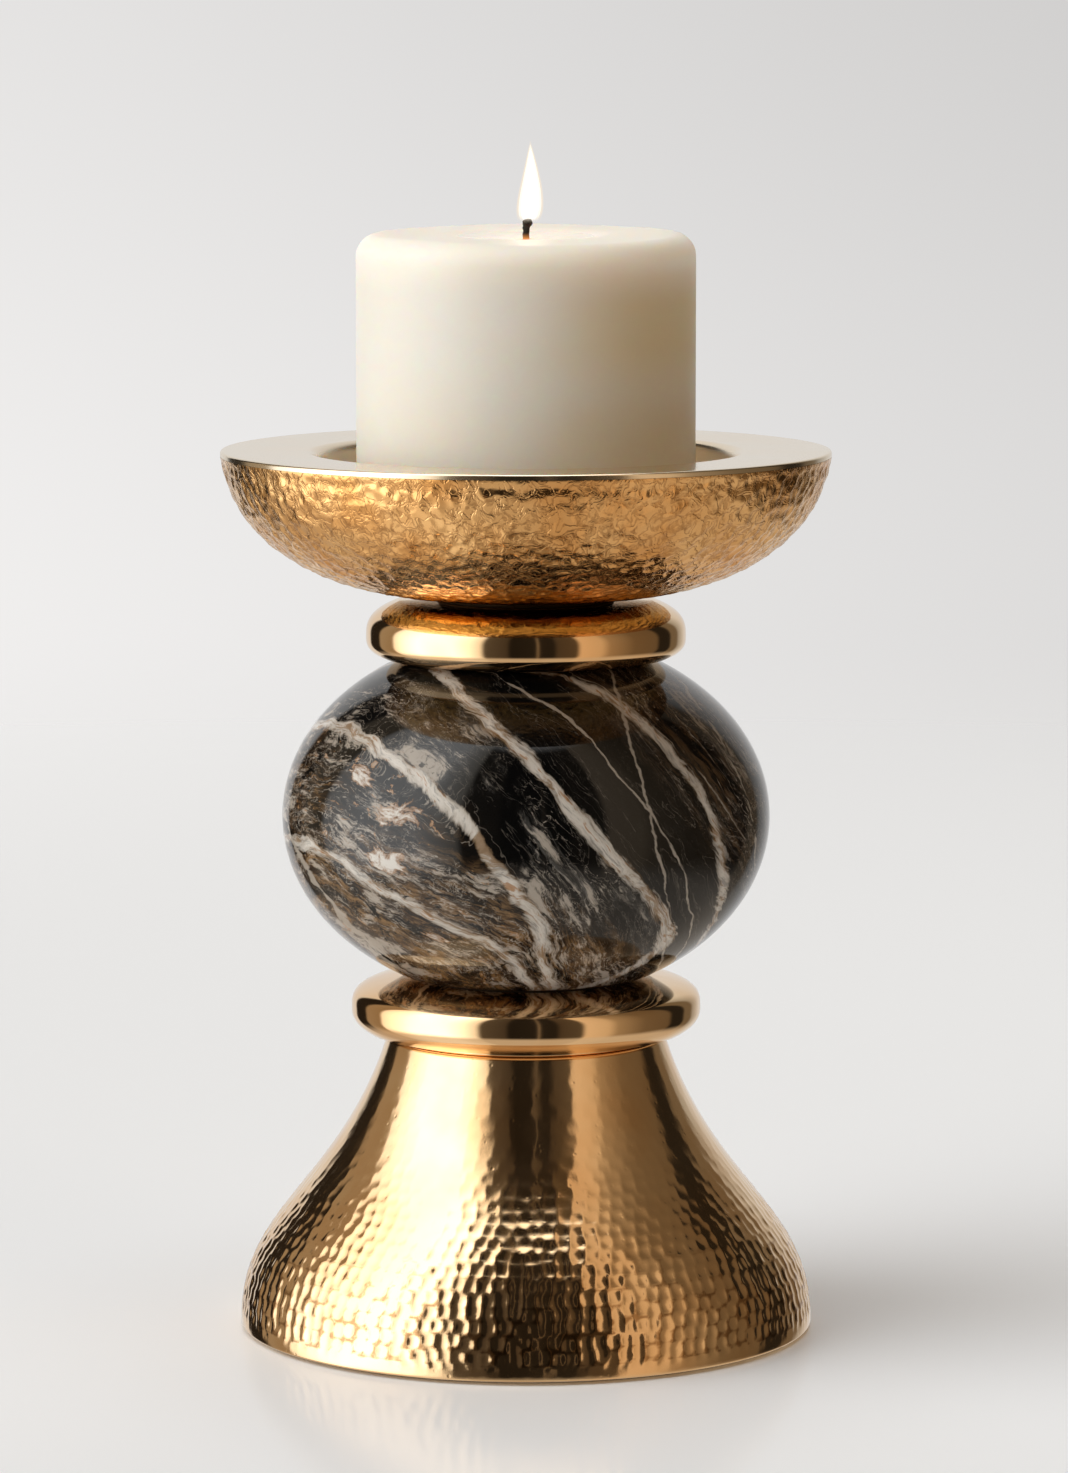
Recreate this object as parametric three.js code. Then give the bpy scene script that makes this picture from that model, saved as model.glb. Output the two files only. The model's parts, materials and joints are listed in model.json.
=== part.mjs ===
// A pillar candle holder: a flared hammered base, two polished rings with an oblate marble ball
// between them, and a hammered dish whose polished pan has a well for a pillar candle.
// One threaded rod runs up the middle and clamps everything between a nut inside the base and
// a blind boss under the dish. Millimetres, +Z up, origin on the table under the axis.
import * as THREE from "three";

// ---- driving dimensions ----
const SEGMENTS = 40; // facets round the axis, the same on every turned piece
const SEAT_GAP = 0.05; // between two faces that rest on each other
const SLIP = 0.3; // radial room round a piece that drops into another

// Base: felt pad and cover plate set into the foot of a flared shell.
const padThickness = 1.6;
const padRadius = 59.5;
const coverThickness = 1.5;
const coverRadius = 61.6;
const coverLedge = 1.4; // width of the step that the cover plate seats against
const footRadius = 64.8; // outer radius at the foot of the base
const footClearance = 0.8; // the shell's lower edge stands this far off the table
const footBand = 2.0; // height of the upright band at the foot
const footRound = 0.5; // rounding of the lower edge
const baseHeight = 66.5; // table to the flat top of the base
const shoulderRadius = 31.7; // outer radius at the top of the base
const shoulderRound = 0.8;
const sideDraft = 0.2; // the side leans in this much above the foot
const sideShare = 0.39; // share of the height over which the side stays steep
const sweepReach = 10.6; // how far outside the shoulder the flare turns upwards
const sweepShare = 0.49; // share of the height at which it does
const baseWall = 2.2;
const baseTopThickness = 3.0;

// Collar: thin disc between the base and the lower ring.
const collarRadius = 30.8;
const collarThickness = 1.5;

// Rings: full-round edges, flat seats, domed tops.
const lowerRing = {
  radius: 39.5,
  belly: 5.0, // seat to the widest place
  height: 12.6, // seat to the flat top
  dome: 8.0, // rise that the upper curve would reach on the axis
  domePower: 3.4,
  keel: 9.6, // drop that the lower curve would reach on the axis
  keelPower: 2.4,
};
const upperRing = {
  radius: 36.0,
  belly: 4.7,
  height: 12.8,
  dome: 10.5,
  domePower: 2.8,
  keel: 7.0,
  keelPower: 3.0,
};

// Ball: oblate, cut flat above and below.
const ballRadius = 55.0;
const ballFullHeight = 83.0; // pole to pole, before the flats are cut
const ballHeight = 71.0; // flat to flat
const gasketThickness = 0.6;
const lowerGasketRadius = 24.0;
const upperGasketRadius = 24.0;

// Dish: hammered bowl outside, polished pan inside, boss underneath.
const neckRadius = 20.0;
const neckThickness = 1.3;
const dishRadius = 68.5;
const dishHeight = 32.5; // under the bowl to the top of the rim
const bowlWall = 1.6;
const bowlFlat = 2.0; // how far the bowl's flat underside runs past the neck
const bowlBelly = 4.4; // fullness of the bowl's underside outside the well
const bowlDraft = 2.4; // lean of the bowl's side below the rim
const bowlSide = 20.5; // depth over which the side stays steep
const panThickness = 1.2;
const rimRound = 0.6;
const rimFlat = 4.0; // width of the level outer part of the rim
const rimDish = 0.3; // the rim falls this much towards the well
const lipRound = 3.0; // rounding from the rim into the well
const panGap = 0.3; // least room between the pan's underside and the bowl
const wellRound = 4.0; // rounding from the well's wall to its floor
const wellWallAngle = -12; // lean of the well's wall, degrees below the outward direction
const bossRadius = 8.0;
const bossDrop = 10.0; // how far the boss reaches down into the upper ring
const bossThread = 9.0; // length of rod held in the boss

// Rod and its fasteners.
const rodRadius = 3.0;
const rodChamfer = 0.5;
const rodHoleClearance = 0.3; // in the boss and the nut
const throughClearance = 0.6; // in the base, collar, washers and lower ring
const ballBore = 5.0; // radius of the hole drilled through the ball
const clampWasherRadius = 14.0;
const clampWasherThickness = 2.0;
const lockWasherWidth = 2.4;
const lockWasherThickness = 1.5;
const lockWasherSplit = 0.35; // angle of the gap, radians
const nutFlats = 10.0; // across flats
const nutHeight = 5.0;
const rodTail = 3.0; // rod showing below the nut

// Candle.
const candleRadius = 38.0;
const candleHeight = 76.0;
const candleRound = 5.0; // rounding of the shoulder
const candleFoot = 2.2; // chamfer round the foot
const poolRadius = 17.0;
const poolDepth = 1.1;
const poolShelf = 4.0; // width of the steep rim of the pool
const poolShelfDrop = 0.7; // share of the pool's depth at the foot of that rim
const wellClearance = 2.0; // candle to the well's wall, at the floor
const lipClearance = 8.5; // candle to the top of the well, at the rim
const wickRadius = 0.85;
const wickOut = 4.4; // wick showing above the pool
const wickHeadRadius = 1.05;
const wickHeadHeight = 1.8;
const wickHeadFlare = 0.6; // height over which the wick widens into its head
const wickTipRadius = 0.84;
const wickTipHeight = 0.3;
const wickHole = 0.35; // wax stands off the wick by this much
const tabRadius = 8.0;
const tabThickness = 0.6;
const tabRecess = 0.9; // depth of the pocket under the candle

// ---- stack, from the table up ----
const coverZ = padThickness;
const collarZ = baseHeight;
const lowerRingZ = collarZ + collarThickness;
const lowerGasketZ = lowerRingZ + lowerRing.height;
const ballZ = lowerGasketZ + gasketThickness;
const upperGasketZ = ballZ + ballHeight;
const upperRingZ = upperGasketZ + gasketThickness;
const neckZ = upperRingZ + upperRing.height;
const dishZ = neckZ + neckThickness;
const clampWasherZ = baseHeight - baseTopThickness - clampWasherThickness;
const lockWasherZ = clampWasherZ - lockWasherThickness;
const nutZ = lockWasherZ - nutHeight;
const rodBottomZ = nutZ - rodTail;
const rodTopZ = neckZ - bossDrop + bossThread;

const throughRadius = rodRadius + throughClearance;
const bossBoreRadius = rodRadius + rodHoleClearance;
const wellFloorRadius = candleRadius + wellClearance;
const lipRadius = candleRadius + lipClearance;

// ---- materials ----
const gold = (color, roughness) => new THREE.MeshStandardMaterial({ color, roughness, metalness: 1 });
const hammeredGold = gold(0xd9a15c, 0.3);
const polishedGold = gold(0xdba866, 0.12);
const panGold = gold(0xdab27c, 0.18);
const zincSteel = gold(0x9a9a96, 0.4);
const tinPlate = gold(0xb8b8b4, 0.35);
const marble = new THREE.MeshStandardMaterial({ color: 0x1c1b1a, roughness: 0.08, metalness: 0 });
const wax = new THREE.MeshStandardMaterial({ color: 0xf0e9d6, roughness: 0.45, metalness: 0 });
const charredCotton = new THREE.MeshStandardMaterial({ color: 0x17110d, roughness: 0.95, metalness: 0 });
const felt = new THREE.MeshStandardMaterial({ color: 0x1b1a19, roughness: 1, metalness: 0 });
const fibre = new THREE.MeshStandardMaterial({ color: 0x2a2420, roughness: 0.9, metalness: 0 });
const board = new THREE.MeshStandardMaterial({ color: 0x6f5a41, roughness: 0.85, metalness: 0 });

// ---- outline helpers: every outline is a list of [radius, height] ----

// Quarter of a superellipse, from the widest place up to the height "cut".
function domedEdge(radius, rise, power, cut, steps) {
  const last = Math.asin(Math.pow(cut / rise, power / 2));
  return Array.from({ length: steps + 1 }, (_, i) => {
    const a = (last * i) / steps;
    return [radius * Math.pow(Math.cos(a), 2 / power), rise * Math.pow(Math.sin(a), 2 / power)];
  });
}

// Arc about (r, z) from one angle to another, in degrees from the outward direction.
function arc(r, z, radius, from, to, steps) {
  return Array.from({ length: steps + 1 }, (_, i) => {
    const a = THREE.MathUtils.degToRad(from + ((to - from) * i) / steps);
    return [r + radius * Math.cos(a), z + radius * Math.sin(a)];
  });
}

// Cubic curve through [radius, height] control points, moved inwards along its normal by "inset".
function curve(points, steps, inset = 0) {
  const bezier = new THREE.CubicBezierCurve(...points.map(([r, z]) => new THREE.Vector2(r, z)));
  return Array.from({ length: steps + 1 }, (_, i) => {
    const p = bezier.getPoint(i / steps);
    const t = bezier.getTangent(i / steps);
    return [p.x - t.y * inset, p.y + t.x * inset];
  });
}

// The stretch of a rising outline between two heights, with its ends worked out on them.
function between(points, low, high) {
  const cut = (z) => {
    const i = points.findIndex((p) => p[1] > z);
    const [a, b] = [points[i - 1], points[i]];
    return [a[0] + ((b[0] - a[0]) * (z - a[1])) / (b[1] - a[1]), z];
  };
  return [cut(low), ...points.filter(([, z]) => z > low && z < high), cut(high)];
}

// Height of an outline at a radius, for an outline whose radius only grows.
function heightAt(points, radius) {
  const i = Math.max(1, points.findIndex(([r]) => r >= radius));
  const [a, b] = [points[i - 1], points[i]];
  return a[1] + ((b[1] - a[1]) * (radius - a[0])) / (b[0] - a[0]);
}

const raise = (points, dz) => points.map(([r, z]) => [r, z + dz]);
const flip = (points) => points.map(([r, z]) => [r, -z]).reverse();

// Turns a closed outline, listed anticlockwise with the axis on its left, about +Z.
function turned(name, outline, material) {
  const closed = outline[0][0] === 0 ? outline : [...outline, outline[0]];
  const points = closed.map(([r, z]) => new THREE.Vector2(r, z));
  const geometry = new THREE.LatheGeometry(points, SEGMENTS).rotateX(Math.PI / 2);
  const mesh = new THREE.Mesh(geometry, material);
  mesh.name = name;
  return mesh;
}

function at(z, mesh) {
  mesh.position.z = z;
  return mesh;
}

// A flat disc with a round hole, lying on z = 0.
function disc(name, radius, hole, thickness, material) {
  const outline = [
    [hole, 0],
    [radius, 0],
    [radius, thickness],
    [hole, thickness],
  ];
  return turned(name, outline, material);
}

// ---- base ----

const baseOutline = [
  [footRadius, footClearance + footBand],
  [footRadius - sideDraft, baseHeight * sideShare],
  [shoulderRadius + sweepReach, baseHeight * sweepShare],
  [shoulderRadius, baseHeight - shoulderRound],
];

function baseShell() {
  const innerFoot = coverRadius + SLIP;
  const ledgeZ = coverZ + coverThickness + SEAT_GAP;
  const ceiling = baseHeight - baseTopThickness;
  const inner = between(curve(baseOutline, 10, baseWall), ledgeZ + coverLedge, ceiling);
  const outline = [
    [throughRadius, ceiling],
    ...inner.reverse(),
    [innerFoot - coverLedge, ledgeZ],
    [innerFoot, ledgeZ],
    [innerFoot, footClearance],
    ...arc(footRadius - footRound, footClearance + footRound, footRound, -90, 0, 2),
    ...curve(baseOutline, 14),
    ...arc(shoulderRadius - shoulderRound, baseHeight - shoulderRound, shoulderRound, 30, 90, 2),
    [throughRadius, baseHeight],
  ];
  return turned("base_shell", outline, hammeredGold);
}

function feltPad() {
  const outline = [
    [0, 0],
    [padRadius, 0],
    [padRadius, padThickness - SEAT_GAP],
    [0, padThickness - SEAT_GAP],
  ];
  return turned("felt_pad", outline, felt);
}

function coverPlate() {
  const outline = [
    [0, 0],
    [coverRadius, 0],
    [coverRadius, coverThickness],
    [0, coverThickness],
  ];
  return at(coverZ, turned("base_cover_plate", outline, board));
}

// ---- collar, rings, gaskets ----

function collar() {
  const thickness = collarThickness - SEAT_GAP;
  const mesh = disc("base_collar", collarRadius, throughRadius, thickness, polishedGold);
  return at(collarZ + SEAT_GAP, mesh);
}

function ring(name, size, bore) {
  const below = flip(domedEdge(size.radius, size.keel, size.keelPower, size.belly - SEAT_GAP, 4));
  const above = domedEdge(size.radius, size.dome, size.domePower, size.height - size.belly, 6);
  const outline = [
    [bore, SEAT_GAP],
    ...raise([...below, ...above.slice(1)], size.belly),
    [bore, size.height],
  ];
  return turned(name, outline, polishedGold);
}

function gasket(name, radius) {
  return disc(name, radius, ballBore, gasketThickness - SEAT_GAP, fibre);
}

// ---- marble ball ----

function marbleBall() {
  const half = ballHeight / 2 - SEAT_GAP;
  const upper = domedEdge(ballRadius, ballFullHeight / 2, 2, half, 9);
  const side = [...flip(upper), ...upper.slice(1)];
  const outline = [[ballBore, -half], ...side, [ballBore, half]];
  return turned("marble_ball", raise(outline, ballHeight / 2), marble);
}

// ---- dish, with the underside of the bowl on z = 0 ----

const bowlFootRadius = neckRadius + bowlFlat;
const bowlRimZ = dishHeight - panThickness - SEAT_GAP;
const bowlOutline = [
  [bowlFootRadius, 0],
  [wellFloorRadius + bowlBelly, 0],
  [dishRadius - bowlDraft, bowlRimZ - bowlSide],
  [dishRadius, bowlRimZ],
];
const bowlInside = curve(bowlOutline, 8, bowlWall).map(([r, z]) => [r, Math.min(z, bowlRimZ)]);

// Underside of the well's rounded corner, from the wall in to the floor, with the floor on z = 0.
const cornerUnder = arc(
  wellFloorRadius - wellRound, wellRound, wellRound + panThickness, wellWallAngle, -90, 4,
);

// The floor of the well lies as low as the bowl under its corner lets it.
const wellFloorHeight = panGap + Math.max(...cornerUnder.map(([r, z]) => heightAt(bowlInside, r) - z));

function dishBoss() {
  const floor = -bossDrop + bossThread + SEAT_GAP;
  const outline = [
    [0, floor],
    [bossBoreRadius, floor],
    [bossBoreRadius, -bossDrop],
    [bossRadius, -bossDrop],
    [bossRadius, SEAT_GAP],
    [neckRadius, SEAT_GAP],
    [neckRadius, neckThickness - SEAT_GAP],
    [bossRadius, neckThickness - SEAT_GAP],
    [bossRadius, neckThickness + bowlWall],
    [0, neckThickness + bowlWall],
  ];
  return turned("dish_boss", outline, polishedGold);
}

function dishBowl() {
  const hole = bossRadius + SLIP;
  const outline = [[hole, 0], ...curve(bowlOutline, 10), ...bowlInside.toReversed(), [hole, bowlWall]];
  return turned("dish_bowl", outline, hammeredGold);
}

// Upper surface of the pan from the middle of the well out to the rim, and its underside back.
function dishPan() {
  const floor = wellFloorHeight;
  const lipZ = dishHeight - rimDish;
  const lipCentre = lipRadius + lipRound;
  const lipAngle = 180 + wellWallAngle;
  const underRimZ = dishHeight - panThickness;
  const top = [
    [0, floor],
    ...arc(wellFloorRadius - wellRound, floor + wellRound, wellRound, -90, wellWallAngle, 3),
    ...arc(lipCentre, lipZ - lipRound, lipRound, lipAngle, 90, 4),
    [dishRadius - rimFlat, dishHeight],
    ...arc(dishRadius - rimRound, dishHeight - rimRound, rimRound, 90, 0, 2),
  ];
  const bottom = [
    [dishRadius, underRimZ],
    [dishRadius - rimFlat, underRimZ],
    ...arc(lipCentre, lipZ - lipRound, lipRound - panThickness, 90, lipAngle, 2),
    ...raise(cornerUnder, floor),
    [0, floor - panThickness],
  ];
  return turned("dish_pan", [...top, ...bottom].reverse(), panGold);
}

// ---- rod and fasteners ----

function tieRod() {
  const length = rodTopZ - rodBottomZ;
  const outline = [
    [0, 0],
    [rodRadius - rodChamfer, 0],
    [rodRadius, rodChamfer],
    [rodRadius, length - rodChamfer],
    [rodRadius - rodChamfer, length],
    [0, length],
  ];
  return at(rodBottomZ, turned("tie_rod", outline, zincSteel));
}

function clampWasher() {
  const thickness = clampWasherThickness - SEAT_GAP;
  return at(clampWasherZ, disc("clamp_washer", clampWasherRadius, throughRadius, thickness, zincSteel));
}

function lockWasher() {
  const outer = throughRadius + lockWasherWidth;
  const end = 2 * Math.PI - lockWasherSplit;
  const shape = new THREE.Shape();
  shape.absarc(0, 0, outer, 0, end, false);
  shape.absarc(0, 0, throughRadius, end, 0, true);
  shape.closePath();
  const depth = lockWasherThickness - SEAT_GAP;
  const geometry = new THREE.ExtrudeGeometry(shape, { depth, bevelEnabled: false, curveSegments: 20 });
  const mesh = new THREE.Mesh(geometry, zincSteel);
  mesh.name = "lock_washer";
  return at(lockWasherZ, mesh);
}

function hexNut() {
  const corner = nutFlats / 2 / Math.cos(Math.PI / 6);
  const shape = new THREE.Shape();
  shape.setFromPoints(
    Array.from({ length: 6 }, (_, i) => {
      const a = (Math.PI / 3) * i;
      return new THREE.Vector2(corner * Math.cos(a), corner * Math.sin(a));
    }),
  );
  const hole = new THREE.Path();
  hole.absarc(0, 0, bossBoreRadius, 0, 2 * Math.PI, true);
  shape.holes.push(hole);
  const depth = nutHeight - SEAT_GAP;
  const geometry = new THREE.ExtrudeGeometry(shape, { depth, bevelEnabled: false, curveSegments: 12 });
  const mesh = new THREE.Mesh(geometry, zincSteel);
  mesh.name = "hex_nut";
  return at(nutZ, mesh);
}

// ---- candle, standing on z = 0 ----

function candleWax() {
  const hole = wickRadius + wickHole;
  const poolZ = candleHeight - poolDepth;
  const outline = [
    [hole, tabRecess],
    [tabRadius + SLIP, tabRecess],
    [tabRadius + SLIP, SEAT_GAP],
    [candleRadius - candleFoot, SEAT_GAP],
    [candleRadius, candleFoot],
    ...arc(candleRadius - candleRound, candleHeight - candleRound, candleRound, 0, 90, 5),
    [poolRadius, candleHeight],
    [poolRadius - poolShelf, candleHeight - poolDepth * poolShelfDrop],
    [hole, poolZ],
  ];
  return turned("candle_wax", outline, wax);
}

function candleWick() {
  const top = candleHeight - poolDepth + wickOut;
  const bottom = tabRecess + SEAT_GAP;
  const outline = [
    [0, bottom],
    [wickRadius, bottom],
    [wickRadius, top - wickHeadHeight],
    [wickHeadRadius, top - wickHeadHeight + wickHeadFlare],
    [wickTipRadius, top - wickTipHeight],
    [0, top],
  ];
  return turned("candle_wick", outline, charredCotton);
}

function wickTab() {
  const outline = [
    [0, 0],
    [tabRadius, 0],
    [tabRadius, tabThickness],
    [0, tabThickness],
  ];
  return at(tabRecess - tabThickness - SEAT_GAP, turned("wick_tab", outline, tinPlate));
}

// ---- assembly ----

const dish = at(dishZ, new THREE.Group());
dish.add(dishBowl(), dishPan());

const candle = at(dishZ + wellFloorHeight, new THREE.Group());
candle.add(candleWax(), candleWick(), wickTab());

const group = new THREE.Group();
group.add(
  feltPad(),
  coverPlate(),
  baseShell(),
  collar(),
  at(lowerRingZ, ring("lower_ring", lowerRing, throughRadius)),
  at(lowerGasketZ + SEAT_GAP, gasket("lower_gasket", lowerGasketRadius)),
  at(ballZ, marbleBall()),
  at(upperGasketZ + SEAT_GAP, gasket("upper_gasket", upperGasketRadius)),
  at(upperRingZ, ring("upper_ring", upperRing, bossRadius + SLIP)),
  at(neckZ, dishBoss()),
  dish,
  tieRod(),
  clampWasher(),
  lockWasher(),
  hexNut(),
  candle,
);

export default group;
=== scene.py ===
"""Looks of a pillar candle holder: a hammered gold base, a black marble ball between two polished
rings, a hammered dish with a polished pan, and a lit pillar candle. Sizes here are millimetres
until a piece is made; Blender's own units are metres."""

import json
import math

import bpy
import numpy as np
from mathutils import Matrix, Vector

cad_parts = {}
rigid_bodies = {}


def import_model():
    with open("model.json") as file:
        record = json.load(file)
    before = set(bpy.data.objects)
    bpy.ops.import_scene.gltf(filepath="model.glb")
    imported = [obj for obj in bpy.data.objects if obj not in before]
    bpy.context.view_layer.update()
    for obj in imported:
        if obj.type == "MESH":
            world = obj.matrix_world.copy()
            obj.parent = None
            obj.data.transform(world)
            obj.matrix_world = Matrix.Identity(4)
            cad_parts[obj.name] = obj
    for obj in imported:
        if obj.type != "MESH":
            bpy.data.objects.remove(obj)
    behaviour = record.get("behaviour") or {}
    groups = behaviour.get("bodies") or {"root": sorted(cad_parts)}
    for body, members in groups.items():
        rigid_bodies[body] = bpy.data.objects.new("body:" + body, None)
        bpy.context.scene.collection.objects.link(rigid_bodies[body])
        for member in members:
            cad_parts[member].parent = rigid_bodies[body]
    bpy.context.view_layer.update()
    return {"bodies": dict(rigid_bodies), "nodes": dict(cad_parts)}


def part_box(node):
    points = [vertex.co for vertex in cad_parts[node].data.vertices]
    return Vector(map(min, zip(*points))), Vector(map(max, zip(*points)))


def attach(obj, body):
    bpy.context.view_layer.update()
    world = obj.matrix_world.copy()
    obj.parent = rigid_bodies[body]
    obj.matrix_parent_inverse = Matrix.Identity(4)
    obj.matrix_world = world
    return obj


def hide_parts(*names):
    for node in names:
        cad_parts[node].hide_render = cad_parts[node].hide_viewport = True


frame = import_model()

MM = 0.001
FULL_TURN = 2 * math.pi
TINY = 1e-6
WEDGES = 16  # a turned piece is spun as this many wedges
CURVE_STEPS = 600  # points that a curve is first worked out at
CREASE = 40  # degrees; sharper edges aren't shaded smooth


# ---------------------------------------------------------------- sizes from the frame

def radius(node):
    """Outer radius of a turned CAD node, in millimetres."""
    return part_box(node)[1].x / MM


def low(node):
    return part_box(node)[0].z / MM


def high(node):
    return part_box(node)[1].z / MM


# ---------------------------------------------------------------- outlines, (radius, height) in mm

def arc(r, z, size, start, end, count):
    """Points on an arc about (r, z); angles in degrees, 0 outwards and 90 up."""
    angles = np.radians(np.linspace(start, end, count))
    return [(r + size * math.cos(a), z + size * math.sin(a)) for a in angles]


def line(start, end, count):
    """Points from start to end, with the end left out."""
    steps = np.linspace(0, 1, count, endpoint=False)
    return [tuple(np.add(start, np.subtract(end, start) * t)) for t in steps]


def cubic(corners, count, inset=0.0):
    """Evenly spaced points on a cubic curve, moved inwards by inset."""
    t = np.linspace(0, 1, CURVE_STEPS)[:, None]
    a, b, c, d = (np.array(p, float) for p in corners)
    run = (1 - t) ** 3 * a + 3 * (1 - t) ** 2 * t * b + 3 * (1 - t) * t ** 2 * c + t ** 3 * d
    along = np.gradient(run, axis=0)
    along /= np.linalg.norm(along, axis=1)[:, None]
    run = run + inset * np.stack([-along[:, 1], along[:, 0]], 1)
    return even(run, count)


def travelled(points):
    """Distance from the first point of a line to each of its points, along the line."""
    steps = np.linalg.norm(np.diff(points, axis=0), axis=1)
    return np.concatenate([[0], np.cumsum(steps)])


def even(points, count):
    """The same line with its points spaced evenly along it."""
    points = np.array(points, float)
    length = travelled(points)
    at = np.linspace(0, length[-1], count)
    out, up = (np.interp(at, length, points[:, axis]) for axis in (0, 1))
    return list(zip(out.tolist(), up.tolist()))


def domed_edge(size, rise, power, cut, count):
    """Quarter of a superellipse from the widest place up to the height cut."""
    last = math.asin((cut / rise) ** (power / 2))
    angles = np.linspace(0, last, count)
    return [(size * math.cos(a) ** (2 / power), rise * math.sin(a) ** (2 / power)) for a in angles]


def raised(points, dz):
    return [(r, z + dz) for r, z in points]


def flipped(points):
    """The line upside down, still running from its lower end to its upper end."""
    return [(r, -z) for r, z in reversed(points)]


# ---------------------------------------------------------------- mesh tools

def deselect():
    if bpy.context.object and bpy.context.object.mode != "OBJECT":
        bpy.ops.object.mode_set(mode="OBJECT")
    bpy.ops.object.select_all(action="DESELECT")


def edit(piece):
    """Opens a piece in edit mode with everything in it selected."""
    deselect()
    piece.select_set(True)
    bpy.context.view_layer.objects.active = piece
    bpy.ops.object.mode_set(mode="EDIT")
    bpy.ops.mesh.select_mode(type="VERT")
    bpy.ops.mesh.select_all(action="SELECT")


def smooth(piece):
    deselect()
    piece.select_set(True)
    bpy.context.view_layer.objects.active = piece
    bpy.ops.object.shade_smooth_by_angle(angle=math.radians(CREASE))


def turned(name, outline, steps):
    """Spins a closed outline round the axis: a ring of vertices is pulled to the outline and spun
    through one wedge, and the wedge is copied round and doubled until it closes."""
    deselect()
    bpy.ops.mesh.primitive_circle_add(vertices=len(outline), radius=1)
    piece = bpy.context.object
    piece.name = name
    for vertex, (r, z) in zip(piece.data.vertices, outline):
        vertex.co = (r * MM, 0, z * MM)
    edit(piece)
    turn = FULL_TURN / WEDGES
    bpy.ops.mesh.spin(steps=steps // WEDGES, angle=turn, center=(0, 0, 0), axis=(0, 0, 1))
    while turn < FULL_TURN - TINY:
        bpy.ops.mesh.select_all(action="SELECT")
        bpy.ops.mesh.duplicate()
        bpy.ops.transform.rotate(value=turn, orient_axis="Z", center_override=(0, 0, 0))
        turn *= 2
    bpy.ops.mesh.select_all(action="SELECT")
    bpy.ops.mesh.remove_doubles(threshold=TINY)
    bpy.ops.mesh.delete_loose()
    bpy.ops.mesh.select_all(action="SELECT")
    bpy.ops.mesh.normals_make_consistent(inside=False)
    bpy.ops.object.mode_set(mode="OBJECT")
    smooth(piece)
    return piece


def points_of(piece):
    """Vertices in millimetres."""
    co = np.empty(len(piece.data.vertices) * 3)
    piece.data.vertices.foreach_get("co", co)
    return co.reshape(-1, 3) / MM


def normals_of(piece):
    co = np.empty(len(piece.data.vertices) * 3)
    piece.data.vertex_normals.foreach_get("vector", co)
    return co.reshape(-1, 3)


def put_points(piece, points):
    piece.data.vertices.foreach_set("co", (points * MM).ravel())
    piece.data.update()


def ramp(value, start, end):
    """0 before start, 1 after end, eased between them."""
    t = np.clip((value - start) / (end - start), 0, 1)
    return t * t * (3 - 2 * t)


# ---------------------------------------------------------------- hammer marks

def hammer_marks(angle, run, around, row_pitch, mark_pitch, wander, blow_size, power, seed):
    """Depth of a hammered surface at each vertex, as a share of one blow's depth.

    angle is the vertex's place round the axis, run its distance along the outline and around its
    radius. Blows lie in rows; each leaves a rounded hollow, and hollows cut into each other. A
    blow's place, size and force vary by chance."""
    rows = int(run.max() / row_pitch) + 4
    row_radius = np.interp((np.arange(rows) - 1) * row_pitch, *sorted_pair(run, around))
    counts = np.maximum(12, np.round(FULL_TURN * row_radius / mark_pitch).astype(int))
    dice = np.random.default_rng(seed).random((rows, counts.max(), 4))
    home = np.floor(run / row_pitch + 1.5).astype(int)
    deepest = np.zeros(len(run))
    for row_step in (-1, 0, 1):
        row = np.clip(home + row_step, 0, rows - 1)
        count = counts[row]
        place = angle / FULL_TURN * count
        for column_step in (-1, 0, 1):
            column = (np.floor(place).astype(int) + column_step) % count
            luck = dice[row, column]
            middle = column + 0.5 + (luck[:, 0] - 0.5) * wander
            across = (place - middle + count / 2) % count - count / 2
            across = np.abs(across / count * FULL_TURN * around)
            up = np.abs(run - (row - 1 + (luck[:, 1] - 0.5) * wander) * row_pitch)
            blow = blow_size * (0.9 + 0.2 * luck[:, 2])
            force = 0.7 + 0.6 * luck[:, 3]
            hollow = force * (1 - (across ** power + up ** power) / blow ** power)
            deepest = np.maximum(deepest, hollow)
    return deepest


def round_axis(points):
    """Each point's distance from the axis, and its place round it from 0 to a full turn."""
    around = np.hypot(points[:, 0], points[:, 1])
    return around, np.arctan2(points[:, 1], points[:, 0]) % FULL_TURN


def note(piece, name, values):
    """Keeps a number on each vertex for the finish to read."""
    store = piece.data.attributes.new(name, "FLOAT", "POINT")
    store.data.foreach_set("value", values.astype(np.float32))


def sorted_pair(x, y):
    order = np.argsort(x)
    return x[order], y[order]


def run_along(points, outline):
    """Distance of each vertex along an outline, by its height."""
    outline = np.array(outline)
    return np.interp(points[:, 2], *sorted_pair(outline[:, 1], travelled(outline)))


# ---------------------------------------------------------------- shader tools

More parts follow.
